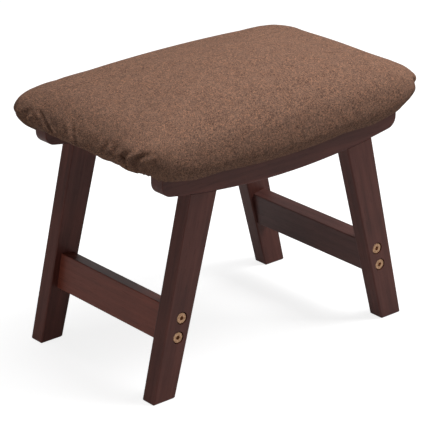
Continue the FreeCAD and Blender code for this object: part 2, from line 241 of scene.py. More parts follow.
def stainedWood(name, turn, shift, stain=woodStain, streaks=150.0):
    material, tree, shader = newMaterial(name)
    place = addNode(tree, "ShaderNodeTexCoord").outputs["Object"]
    mapped = addNode(tree, "ShaderNodeMapping",
                     {"Vector": place, "Location": shift, "Rotation": turn}).outputs[0]
    grain = placeGroup(tree, grainGroup, {"Vector": mapped, "Dark": stain["dark"], "Light": stain["light"],
                                          "Streak Scale": streaks, "Gloss": stain["gloss"]})
    finishShader(tree, shader, grain, 0.25, 0.0003)
    shader.inputs["Specular IOR Level"].default_value = stain["specular"]
    shader.inputs["Coat Weight"].default_value = stain["coat"]
    shader.inputs["Coat Roughness"].default_value = stain["coatRoughness"]
    return material


def agedMetal(name, bright, dull, amount, gloss):
    material, tree, shader = newMaterial(name)
    place = addNode(tree, "ShaderNodeTexCoord").outputs["Object"]
    patina = placeGroup(tree, patinaGroup, {"Vector": place, "Bright": bright, "Dull": dull,
                                            "Amount": amount, "Gloss": gloss})
    finishShader(tree, shader, patina, 0.1, 0.0001)
    shader.inputs["Metallic"].default_value = 1.0
    return material


def wovenCloth(name, look, uvName=None):
    material, tree, shader = newMaterial(name)
    if uvName:
        place = addNode(tree, "ShaderNodeUVMap", uv_map=uvName).outputs[0]
    else:
        place = addNode(tree, "ShaderNodeTexCoord").outputs["Object"]
    weave = placeGroup(tree, weaveGroup, {"Vector": place, "Pitch": look["pitch"], "Base": look["base"],
                                          "Fleck": look["fleck"]})
    finishShader(tree, shader, weave, 0.6, look["pitch"] * 0.3)
    shader.inputs["Sheen Weight"].default_value = look["sheen"]
    shader.inputs["Sheen Roughness"].default_value = 0.5
    shader.inputs["Specular IOR Level"].default_value = 0.1
    return material


def foamMaterial():
    material, tree, shader = newMaterial("openCellFoam")
    place = addNode(tree, "ShaderNodeTexCoord").outputs["Object"]
    cells = addNode(tree, "ShaderNodeTexVoronoi", {"Vector": place, "Scale": 900.0}).outputs["Distance"]
    color = mixColor(tree, cells, (0.62, 0.5, 0.28, 1), (0.82, 0.74, 0.52, 1))
    tree.links.new(color, shader.inputs["Base Color"])
    tree.links.new(bumpFrom(tree, cells, 0.5, 0.0006), shader.inputs["Normal"])
    shader.inputs["Roughness"].default_value = 0.95
    return material


# Turn each piece's own lean into the grain's X, then dress the rigid nodes
leanAngle = math.radians(14.05)
plainWood = {"dark": (0.36, 0.22, 0.11, 1), "light": (0.62, 0.45, 0.27, 1), "gloss": 0.6,
             "specular": 0.3, "coat": 0.0, "coatRoughness": 0.5}
woodTurns = {
    "front_apron": ((0, 0, 0), (0.1, 0.2, 0.0)), "rear_apron": ((0, 0, 0), (0.7, 0.5, 0.3)),
    "stretcher_left": ((0, 0, math.pi / 2), (0.2, 0.1, 0.4)),
    "stretcher_right": ((0, 0, math.pi / 2), (0.9, 0.6, 0.8)),
}
legShifts = {"front_left": (0.3, 0.11, 0.0), "front_right": (0.8, 0.42, 0.2),
             "rear_left": (0.5, 0.27, 0.6), "rear_right": (0.05, 0.9, 0.35)}
for corner, shift in legShifts.items():
    lean = leanAngle if corner.endswith("left") else -leanAngle
    woodTurns["leg_" + corner] = ((0, math.pi / 2 - lean, 0), shift)

# Painted light: lighter copies of the one stain for boards that catch more light. The rear-left leg and
# left stretcher are lightened for the light falling on their left faces, and the right stretcher is greyed
# as a painted reflection on its top
leftLitRed = dict(woodStain, dark=(0.1, 0.029, 0.021, 1), light=(0.22, 0.068, 0.05, 1))
leftLitBright = dict(woodStain, dark=(0.18, 0.043, 0.026, 1), light=(0.35, 0.09, 0.054, 1), specular=0.45)
reflectionGrey = dict(woodStain, dark=(0.098, 0.036, 0.03, 1), light=(0.175, 0.07, 0.058, 1), specular=0.36)
paintedLightStains = {"stretcher_left": leftLitBright, "stretcher_right": reflectionGrey, "leg_rear_left": leftLitRed}
# Each board listed above gets its painted-light copy of the stain, the rest the plain stain
for name, (turn, shift) in woodTurns.items():
    stain = paintedLightStains.get(name, woodStain)
    nodes[name].material_slots[0].material = stainedWood("stain_" + name, turn, shift, stain)

brass = agedMetal("antiqueBrass", (0.68, 0.42, 0.25, 1), (0.16, 0.08, 0.05, 1), 0.75, 0.36)
zinc = agedMetal("zincPlate", (0.62, 0.61, 0.58, 1), (0.3, 0.29, 0.27, 1), 0.5, 0.32)
beech = stainedWood("plainBeech", (0, math.pi / 2, 0), (0, 0, 0), plainWood, 200.0)
birch = stainedWood("birchPly", (0, 0, 0), (0.4, 0.2, 0.1), plainWood, 120.0)
for name, node in nodes.items():
    if name.startswith("bolt_"):
        node.material_slots[0].material = brass
    elif name.startswith(("insert_", "seat_screw")):
        node.material_slots[0].material = zinc
    elif name.startswith("dowel_"):
        node.material_slots[0].material = beech
    elif name == "seat_board":
        node.material_slots[0].material = birch
print("rigid nodes dressed")

# The padded seat: outline, walls and crown, in millimetres until the mesh is made. A station is a ring
# of the surface: its share of the inset, then of the rise, and for the wall its share of endDraw
seat = {
    "halfLength": 239.0, "halfWidth": 143.0, "cornerRadius": 50.0, "innerCornerShare": 0.35,
    "shortAngle": 8.0, "hemEndAngle": 1.0, "longAngle": 1.0,
    "tuck": 17.0, "endTuck": 41.0, "hemSquare": 22.0,
    "sideRise": 21.5, "shoulderHeight": 77.2, "shoulderFall": 7.4, "shoulderInset": 36.0, "endSlope": 0.015,
    "crown": 17.0, "endDrop": 10.0, "endDraw": 9.0, "cornerDraw": 2.5, "cornerFill": 4.0,
    "clothThickness": 1.5, "wrapHigh": (6, 18, 33), "wrapLow": ((33, 0), (18, 0), (5, 0), (1.4, 0.15)),
    "curveRadius": 990.0, "underside": 269.7, "wallHeight": 58.0,
    "boardThickness": 12.0, "boardGap": 2.0, "foamGap": 0.4, "boardRings": (0.08, 0.35, 0.7, 1),
    "wallStations": ((1, 0, 0), (0.42, 0.4, 0.5), (0, 1, 1)),
    "shoulderStations": ((0.18, 0.5), (0.54, 0.8), (1, 1.0)),
    "crownStations": ((0.7, 0.48), (0.35, 0.86), (0.08, 0.98)),
    "rowSteps": (7, 8, 8, 9, 9, 8, 6, 5), "wallRows": 43, "shoulderRow": 41, "innerStep": 3,
    "longColumns": 60, "cornerColumns": 52, "shortColumns": 60,
}


def curveHeight(x, radius):
    return seat["underside"] + seat["curveRadius"] - np.sqrt(radius ** 2 - x ** 2)


# One ring of the seat's outline, clockwise from the rear side's middle; a tuckShare of 1 draws
# its ends in as at the hem
def outlineRing(inset, share=1.0, tuckShare=0.0):
    shortTurn = math.radians(seat["shortAngle"] + (seat["hemEndAngle"] - seat["shortAngle"]) * tuckShare)
    longTurn = math.radians(seat["longAngle"])
    endInset = inset + (seat["endTuck"] - seat["tuck"]) * tuckShare
    radius = seat["cornerRadius"] - inset * seat["innerCornerShare"] - seat["hemSquare"] * tuckShare
    centerY = seat["halfWidth"] - inset - radius * math.cos(longTurn)
    halfChordY = centerY + radius * math.sin(shortTurn)
    shortBow = halfChordY * math.tan(shortTurn / 2)
    centerX = seat["halfLength"] - endInset - radius * math.cos(shortTurn) - shortBow
    halfChordX = centerX + radius * math.sin(longTurn)
    longBow = halfChordX * math.tan(longTurn / 2)
    centerY -= longBow
    longRadius, shortRadius = halfChordX / math.sin(longTurn), halfChordY / math.sin(shortTurn)
    topY = centerY + radius * math.cos(longTurn) + longBow
    endX = centerX + radius * math.cos(shortTurn) + shortBow
    quarter = []
    for step in range(seat["longColumns"]):
        angle = longTurn * step / seat["longColumns"]
        quarter.append((longRadius * math.sin(angle), topY - longRadius * (1 - math.cos(angle))))
    for step in range(seat["cornerColumns"]):
        angle = math.pi / 2 - longTurn - (math.pi / 2 - longTurn - shortTurn) * step / seat["cornerColumns"]
        quarter.append((centerX + radius * math.cos(angle), centerY + radius * math.sin(angle)))
    for step in range(seat["shortColumns"] + 1):
        angle = shortTurn * (1 - step / seat["shortColumns"])
        quarter.append((endX - shortRadius * (1 - math.cos(angle)), shortRadius * math.sin(angle)))
    quarter = np.array(quarter)
    there, back = quarter[:-1], quarter[:0:-1]
    return share * np.concatenate([there, back * (1, -1), there * (-1, -1), back * (-1, 1)])


wideRing = outlineRing(0)
ringStep = np.roll(wideRing, -1, 0) - np.roll(wideRing, 1, 0)
outward = np.stack([-ringStep[:, 1], ringStep[:, 0]], 1) / np.linalg.norm(ringStep, axis=1)[:, None]
quarterColumns = seat["longColumns"] + seat["cornerColumns"] + seat["shortColumns"]
stepLengths = np.linalg.norm(np.roll(wideRing, -1, 0) - wideRing, axis=1)
ringPlace = np.concatenate([[0], np.cumsum(stepLengths)[:-1]])
# Arc places from each short end's middle, in millimetres, minus towards the front
rightPlace = ringPlace[quarterColumns] - ringPlace
leftPlace = ringPlace - ringPlace[3 * quarterColumns]

# Gathers: end, depth, width, then the crease's line as (place from the short end's middle, level),
# where level is 0 at the hem and 1 at the shoulder
gathers = [
    ("left", 5.0, 4.2, ((96, 0.0), (93, 0.3), (88, 0.62))),
    ("left", 4.2, 4.0, ((26, 0.3), (40, 0.5), (72, 0.72))),
    ("left", 3.4, 3.2, ((-18, 0.3), (-12, 0.5), (-4, 0.64), (2, 0.76))),
    ("left", 3.6, 3.6, ((-60, 0.0), (-64, 0.42), (-69, 0.6), (-67, 0.7))),
    ("left", 2.6, 3.4, ((-82, 0.1), (-85, 0.6), (-90, 0.7))),
    ("left", 4.6, 4.0, ((-96, 0.0), (-102, 0.36), (-111, 0.6))),
    ("left", 5.0, 4.2, ((-106, 0.0), (-116, 0.28), (-124, 0.46), (-134, 0.62))),
    ("left", 4.0, 3.8, ((-122, 0.0), (-137, 0.4))),
    ("left", 2.6, 4.2, ((-140, 0.0), (-152, 0.28))),
    ("left", 2.2, 4.2, ((-160, 0.06), (-173, 0.32))),
    ("left", 2.0, 3.6, ((-44, 0.2), (-40, 0.52))),
    ("left", 3.6, 4.4, ((112, 0.0), (120, 0.5))),
    ("left", 3.0, 4.4, ((130, 0.0), (142, 0.42))),
    ("left", 2.2, 4.4, ((148, 0.0), (160, 0.3))),
    ("right", 4.4, 4.2, ((-128, 0.0), (-132, 0.5))),
    ("right", 3.2, 4.0, ((-108, 0.0), (-112, 0.46))),
    ("right", 4.2, 4.2, ((-90, 0.0), (-96, 0.56))),
    ("right", 3.0, 4.0, ((-58, 0.1), (-64, 0.55))),
    ("right", 2.2, 3.6, ((-24, 0.2), (-20, 0.5))),
    ("right", 2.6, 3.6, ((12, 0.1), (8, 0.56))),
    ("right", 3.0, 3.8, ((46, 0.1), (52, 0.6))),
    ("right", 3.4, 4.0, ((76, 0.0), (84, 0.56))),
    ("right", 4.6, 4.4, ((100, 0.0), (110, 0.62))),
    ("right", 3.2, 4.0, ((120, 0.0), (130, 0.45))),
    ("right", 2.2, 4.2, ((138, 0.0), (152, 0.3))),
]
# How each crease is shaped: its depth and width over the listed ones, how it fades out at its two ends,
# the ridges beside it, how far it lifts the hem, and where the rails under the cloth stop it
gatherForm = {"depth": 1.25, "widening": 0.6, "fadeTop": 0.06, "fadeLength": 0.2, "fadeLow": 0.12,
              "ridge": 0.42, "ridgePlace": 1.9, "lift": 0.75, "railPlace": 118, "railFade": 12,
              "railLevel": 0.25, "boardLevel": 0.3, "boardClear": 0.4}


def gatherAt(level):
    # How far the cloth moves in at this level, per column
    form = gatherForm
    move = np.zeros(len(wideRing))
    for end, depth, width, line in gathers:
        places, levels = zip(*line)
        fade = np.clip((levels[-1] + form["fadeTop"] - level) / form["fadeLength"], 0, 1)
        fade = fade * np.clip((level - levels[0] + form["fadeLow"]) / form["fadeLow"], 0, 1)
        if fade == 0:
            continue
        along = leftPlace if end == "left" else rightPlace
        offset = (along - np.interp(level, levels, places)) / (width * (1 + form["widening"] * level))
        ridges = form["ridge"] * np.exp(-(np.abs(offset) - form["ridgePlace"]) ** 2)
        move += form["depth"] * depth * fade * (np.exp(-offset ** 2) - ridges)
    return move


def smoothRows(stations, counts):
    # A smooth curve through the stations of each column, with this many steps between them
    stations = np.array(stations)
    span = np.linalg.norm(np.diff(stations, axis=0), axis=2).mean(1)
    place = np.concatenate([[0], np.cumsum(np.maximum(span, 1e-6))])
    slopes = np.gradient(stations, place, axis=0)
    rows = [stations[0]]
    for first, count in enumerate(counts):
        length = place[first + 1] - place[first]
        for step in range(1, count + 1):
            t = step / count
            rows.append((2 * t ** 3 - 3 * t ** 2 + 1) * stations[first]
                        + (t ** 3 - 2 * t ** 2 + t) * length * slopes[first]
                        + (3 * t ** 2 - 2 * t ** 3) * stations[first + 1]
                        + (t ** 3 - t ** 2) * length * slopes[first + 1])
    return np.array(rows)


def ringStation(inset, share, height, tuckShare=0.0):
    flat = outlineRing(inset, share, tuckShare)
    return np.column_stack([flat, height(flat[:, 0])])


def shoulderStation(insetShare, ringShare, height):
    # The shoulder lies further in at the ends
    flat = outlineRing(seat["shoulderInset"] * insetShare, ringShare)
    flat[:, 0] *= 1 - seat["endSlope"] * insetShare
    return np.column_stack([flat, height(flat[:, 0])])


# Along the middle of the ends the wall is fullest lower down, and the outline less bowed
endPlace = np.minimum(np.abs(leftPlace), np.abs(rightPlace))
endMiddle = 0.5 * (1 + np.cos(math.pi * np.clip((endPlace - 40) / 90, 0, 1)))
cornerWeight = 0.5 * (1 + np.cos(math.pi * np.clip(np.abs(endPlace - 135) / 60, 0, 1)))


def wallAndCrown():
    hem = lambda x: curveHeight(x, seat["curveRadius"])
    widest = lambda x: hem(x) + seat["sideRise"] - seat["endDrop"] * endMiddle
    middle = seat["underside"] + seat["shoulderHeight"]
    shoulder = lambda x: middle - seat["shoulderFall"] * (x / seat["halfLength"]) ** 2
    stations = []
    for insetShare, riseShare, bowShare in seat["wallStations"]:
        height = lambda x: hem(x) + (widest(x) - hem(x)) * riseShare
        stations.append(ringStation(seat["tuck"] * insetShare, 1, height, insetShare))
        stations[-1][:, 0] -= np.sign(outward[:, 0]) * seat["endDraw"] * bowShare * endMiddle
    stations[-1][:, :2] -= outward * (seat["cornerDraw"] * cornerWeight * (outward[:, 0] < 0))[:, None]
    for insetShare, riseShare in seat["shoulderStations"]:
        height = lambda x: widest(x) + (shoulder(x) - widest(x)) * riseShare
        stations.append(shoulderStation(insetShare, 1, height))
        stations[-1][:, 0] -= np.sign(outward[:, 0]) * seat["endDraw"] * (1 - insetShare) * endMiddle
        stations[-1][:, :2] += outward * seat["cornerFill"] * cornerWeight[:, None] * insetShare ** 0.5
    for ringShare, riseShare in seat["crownStations"]:
        height = lambda x: shoulder(x) + seat["crown"] * riseShare
        stations.append(shoulderStation(1, ringShare, height))
    return stations


def levelOf(row, low):
    # 0 at the hem and 1 at the shoulder, along the whole ring
    return float(np.clip(np.mean(row[:, 2] - low) / seat["wallHeight"], 0, 1))


def gatherRows(rows):
    # Draws the rows in at the gathers, and lifts the hem at each valley
    form = gatherForm
    low = rows[0][:, 2]
    overAir = np.clip((form["railPlace"] - endPlace) / form["railFade"], 0, 1)
    moved = rows.copy()
    for index, row in enumerate(rows):
        level = levelOf(row, low)
        inward = gatherAt(level) * (1 - (1 - overAir) * max(0, 1 - level / form["railLevel"]))
        moved[index][:, 2] += inward * form["lift"] * (1 - level) ** 2 * overAir
        if level < form["boardLevel"]:
            # Low down the seat board's edge stops it
            clear = ((row - rows[0])[:, :2] * outward).sum(1) - form["boardClear"]
            inward = np.minimum(inward, np.maximum(clear, 0))
        moved[index][:, :2] -= outward * inward[:, None]
    return moved


sag = {"depth": 7.5, "places": (126, 144, 205, 265), "placeShares": (0, 1, 1, 0),
       "levels": (0, 0.08, 0.25, 0.4, 0.8), "levelShares": (0, 1, 0.9, 0.5, 0),
       "railFace": 126.0, "railEnd": 190.0, "clear": 3.0}


def sagRows(rows):
    # Near its corners the cloth hangs a little over the rails' upper edge, in front of their faces
    low = rows[0][:, 2]
    near = np.interp(endPlace, sag["places"], sag["placeShares"])
    moved = rows.copy()
    for index, row in enumerate(rows):
        share = np.interp(levelOf(row, low), sag["levels"], sag["levelShares"])
        clear = np.maximum(np.abs(row[:, 1]) - sag["railFace"], np.abs(row[:, 0]) - sag["railEnd"])
        moved[index][:, 2] -= sag["depth"] * share * near * np.clip(clear / sag["clear"], 0, 1)
    return moved


# The cloth's own puff between its gathers: pressure from inside, the hem and the crown held
puff = {"pressure": 4.0, "frames": 20, "cap": 6.0, "fullness": 0.12, "bending": 0.05, "stiffness": 8.0,
        "shear": 0.3, "damping": 10, "mass": 0.15, "quality": 6, "window": 24, "endFrom": 150,
        "endFade": 40, "least": 0.02, "heldRows": 2}


def gridFaces(rowCount, columnCount):
    faces = []
    for row in range(rowCount - 1):
        for column in range(columnCount):
            after = (column + 1) % columnCount
            faces.append((row * columnCount + column, (row + 1) * columnCount + column,
                          (row + 1) * columnCount + after, row * columnCount + after))
    return faces


def puffOut(rows, wallRows):
    rowCount, columnCount = len(rows), len(rows[0])
    faces = gridFaces(rowCount, columnCount)
    mesh = bpy.data.meshes.new("clothTrial")
    mesh.from_pydata([tuple(point) for row in rows for point in row / 1000], [], faces)
    trial = bpy.data.objects.new("clothTrial", mesh)
    bpy.context.scene.collection.objects.link(trial)
    held, full = trial.vertex_groups.new(name="held"), trial.vertex_groups.new(name="full")
    low = rows[0][:, 2]
    endShare = np.clip((np.abs(wideRing[:, 0]) - puff["endFrom"]) / puff["endFade"], 0, 1)
    for index, row in enumerate(rows):
        level = levelOf(row, low)
        if index < puff["heldRows"] or index > wallRows:
            held.add(range(index * columnCount, (index + 1) * columnCount), 1.0, "REPLACE")
        for column in np.nonzero(endShare * (1 - level) > puff["least"])[0]:
            full.add([index * columnCount + int(column)], float(endShare[column] * (1 - level)), "REPLACE")
    cloth = trial.modifiers.new("cloth", "CLOTH")
    cloth.point_cache.frame_start, cloth.point_cache.frame_end = 1, puff["frames"]
    made = cloth.settings
    made.quality, made.mass = puff["quality"], puff["mass"]
    made.tension_stiffness = made.compression_stiffness = puff["stiffness"]
    made.shear_stiffness, made.bending_stiffness = puff["stiffness"] * puff["shear"], puff["bending"]
    made.tension_damping = made.compression_damping = puff["damping"]
    made.use_pressure, made.uniform_pressure_force = True, puff["pressure"]
    made.vertex_group_mass, made.pin_stiffness = "held", 1.0
    made.vertex_group_shrink, made.shrink_min, made.shrink_max = "full", 0.0, -puff["fullness"]
    made.effector_weights.gravity = 0
    for frame in range(1, puff["frames"] + 1):
        bpy.context.scene.frame_set(frame)
    settled = trial.evaluated_get(bpy.context.evaluated_depsgraph_get()).data
    places = np.zeros(len(settled.vertices) * 3)
    settled.vertices.foreach_get("co", places)
    move = places.reshape(rowCount, columnCount, 3) * 1000 - rows
    bpy.data.objects.remove(trial)
    bpy.context.scene.frame_set(1)
    # Only the folds are kept: the even swelling of the whole wall would change the seat's form
    out = np.concatenate([outward, np.zeros((columnCount, 1))], 1)
    side = np.stack([-outward[:, 1], outward[:, 0], np.zeros(columnCount)], 1)
    folds = np.stack([(move * out).sum(2), (move * side).sum(2), move[:, :, 2]], 2)
    reach = puff["window"]
    window = np.hanning(2 * reach + 3)[1:-1]
    wrapped = np.concatenate([folds[:, -reach:], folds, folds[:, :reach]], 1)
    even = np.zeros_like(folds)
    for step, weight in enumerate(window / window.sum()):
        even += weight * wrapped[:, step:step + columnCount]
    folds = folds - even
    length = np.linalg.norm(folds, axis=2)
    folds *= np.minimum(1, puff["cap"] / np.maximum(length, 1e-6))[:, :, None]
    print("cloth simulated: folds up to", round(float(length.max()), 1), "mm")
    return rows + folds[:, :, :1] * out + folds[:, :, 1:2] * side + folds[:, :, 2:] * (0, 0, 1)


def drawnIn(rows, distance):
    # The same rows, this far behind the surface
    around = np.roll(rows, -1, 1) - np.roll(rows, 1, 1)
    upward = np.gradient(rows, axis=0)
    normals = np.cross(upward, around)
    normals /= np.maximum(np.linalg.norm(normals, axis=2), 1e-9)[:, :, None]
    center = rows.mean((0, 1))
    if ((rows - center) * normals).sum() < 0:
        normals = -normals
    return rows - normals * distance


def closedGrid(name, rows, materials, uvRows=None):
    # Rings of one column count, closed at both ends by a fan
    rowCount, columnCount = len(rows), len(rows[0])
    points = [tuple(point) for row in rows for point in row / 1000]
    points += [tuple(rows[0].mean(0) / 1000), tuple(rows[-1].mean(0) / 1000)]
    faces = [(face[0], face[3], face[2], face[1]) for face in gridFaces(rowCount, columnCount)]
    last = (rowCount - 1) * columnCount
    for column in range(columnCount):
        after = (column + 1) % columnCount
        faces.append((column, rowCount * columnCount, after))
        faces.append((last + column, last + after, rowCount * columnCount + 1))
    mesh = bpy.data.meshes.new(name)
    mesh.from_pydata(points, [], faces)
    if uvRows is not None:
        layer = mesh.uv_layers.new(name="clothPlan")
        flatUv = np.concatenate([*uvRows, uvRows[0].mean(0)[None], uvRows[-1].mean(0)[None]]) / 1000
        loopVertices = np.zeros(len(mesh.loops), dtype=np.int32)
        mesh.loops.foreach_get("vertex_index", loopVertices)
        layer.data.foreach_set("uv", flatUv[loopVertices].ravel())
    mesh.polygons.foreach_set("use_smooth", [True] * len(mesh.polygons))
    mesh.validate()
    piece = bpy.data.objects.new(name, mesh)
    bpy.context.scene.collection.objects.link(piece)
    for material in materials:
        mesh.materials.append(material)
    turnOutward(piece)
    return piece


def turnOutward(piece):
    work = bmesh.new()
    work.from_mesh(piece.data)
    bmesh.ops.remove_doubles(work, verts=work.verts, dist=1e-7)
    bmesh.ops.recalc_face_normals(work, faces=work.faces)
    work.to_mesh(piece.data)
    work.free()


def clothPlan(rows, shoulderIndex):
    # Cloth coordinates: flat over the top, then on along each column down the wall
    plan = [row[:, :2].copy() for row in rows]
    run = np.zeros(len(rows[0]))
    for index in range(shoulderIndex, 0, -1):
        run = run + np.linalg.norm(rows[index - 1] - rows[index], axis=1)
        plan[index - 1] = plan[shoulderIndex] + outward * run[:, None]
    return plan


coverLook = {"pitch": 0.0011, "base": (0.237, 0.133, 0.093, 1), "fleck": 1.0, "sheen": 0.0}


def makeCover(outer):
    # From inside to outside: the lining side of the wall, the turned-under edge, and the outer face
    thickness, radius, tuck = seat["clothThickness"], seat["curveRadius"], seat["tuck"]
    inner = drawnIn(outer, thickness)[::seat["innerStep"]]
    wrapHigh = [ringStation(tuck + inset, 1, lambda x: curveHeight(x, radius) + thickness, 1)
                for inset in seat["wrapHigh"]]
    wrapLow = [ringStation(tuck + inset, 1, lambda x: curveHeight(x, radius) + rise, 1)
               for inset, rise in seat["wrapLow"]]
    rows = [*inner[::-1], *wrapHigh, *wrapLow, *outer]
    shoulderIndex = len(rows) - len(outer) + seat["shoulderRow"]
    cloth = wovenCloth("mottledWeave", coverLook, "clothPlan")
    cover = closedGrid("cushion_cover", rows, [cloth], clothPlan(rows, shoulderIndex))
    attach(cover, "root")
    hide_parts("fabric_cover")
    return cover


# The foam has no creases: it keeps behind the deepest one near by
foamForm = {"besideColumns": 9, "besideRows": 3, "boardClear": 0.2, "lowestClear": 1.9}


def makeFoam(outer, plain):
    deep = ((plain - outer)[:, :, :2] * outward).sum(2)
    lift = np.maximum(outer[0][:, 2] - plain[0][:, 2], 0)
    deepest, highest = np.maximum(deep, 0), lift.copy()
    for shift in range(-foamForm["besideColumns"], foamForm["besideColumns"] + 1):
        deepest = np.maximum(deepest, np.roll(deep, shift, 1))
        highest = np.maximum(highest, np.roll(lift, shift))
    for shift in (*range(-foamForm["besideRows"], 0), *range(1, foamForm["besideRows"] + 1)):
        deepest = np.maximum(deepest, np.roll(deepest, shift, 0))
    behind = seat["clothThickness"] + seat["foamGap"] + deepest
    step = seat["innerStep"]
    wall = drawnIn(plain, behind[:, :, None])[step::step]
    inset = seat["tuck"] + seat["boardGap"]
    boardRadius = seat["curveRadius"] - seat["clothThickness"] - seat["boardThickness"]
    boardTop = lambda x: curveHeight(x, boardRadius) + foamForm["boardClear"]
    under = [ringStation(inset, share, boardTop, 1) for share in seat["boardRings"]]
    lowest = seat["curveRadius"] - foamForm["lowestClear"]
    under.append(ringStation(inset, 1, lambda x: curveHeight(x, lowest), 1))
    under[-1][:, 2] += highest
    foam = closedGrid("seat_foam", [*under, *wall], [foamMaterial()])
    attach(foam, "root")
    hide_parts("foam_pad")
    return foam


plainRows = smoothRows(wallAndCrown(), seat["rowSteps"])
outerRows = sagRows(gatherRows(plainRows))
outerRows = puffOut(outerRows, seat["wallRows"])
cover = makeCover(outerRows)
makeFoam(outerRows, plainRows)
print("padded seat made:", len(cover.data.polygons), "faces")

# Dust cover: one flat cloth, stretched under the board, sagging a little towards its middle
dust = {"halfLength": 175.0, "halfWidth": 101.5, "thickness": 0.5, "gap": 0.15, "sag": 0.25,
        "columns": 160, "rows": 84}
dustLook = {"pitch": 0.0008, "base": (0.022, 0.022, 0.024, 1), "fleck": 0.8, "sheen": 0.1}


def makeDustCover():
    xs = np.linspace(-dust["halfLength"], dust["halfLength"], dust["columns"] + 1)
    ys = np.linspace(-dust["halfWidth"], dust["halfWidth"], dust["rows"] + 1)
    points, faces = [], []
    for y in ys:
        edge = 1 - (y / dust["halfWidth"]) ** 2
        for x in xs:
            dip = dust["sag"] * edge * (1 - (x / dust["halfLength"]) ** 2)
            height = curveHeight(x, seat["curveRadius"] + dust["gap"]) - dip
            points.append((x / 1000, y / 1000, height / 1000))
    for row in range(dust["rows"]):
        for column in range(dust["columns"]):
            first = row * (dust["columns"] + 1) + column
            faces.append((first, first + dust["columns"] + 1, first + dust["columns"] + 2, first + 1))
    mesh = bpy.data.meshes.new("dust_cloth")
    mesh.from_pydata(points, [], faces)
    mesh.polygons.foreach_set("use_smooth", [True] * len(mesh.polygons))
    mesh.materials.append(wovenCloth("dustCloth", dustLook))
    cloth = bpy.data.objects.new("dust_cloth", mesh)
    bpy.context.scene.collection.objects.link(cloth)
    wall = cloth.modifiers.new("thickness", "SOLIDIFY")
    wall.thickness = dust["thickness"] / 1000
    wall.offset = 1
    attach(cloth, "root")
    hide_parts("dust_cover")
    return cloth


# Staples round the dust cover: one bent wire, set on four lines of points
staples = {"Long Count": 7, "Short Count": 4, "Line X": 0.17, "Line Y": 0.0965, "Crown": 0.01, "Leg": 0.006,
           "Wire Width": 0.0012, "Wire Thickness": 0.0006, "Bend": 0.0005, "Curve Radius": 0.9908,
           "Center Height": 1.2597, "Jitter": 0.05, "Seed": 4}


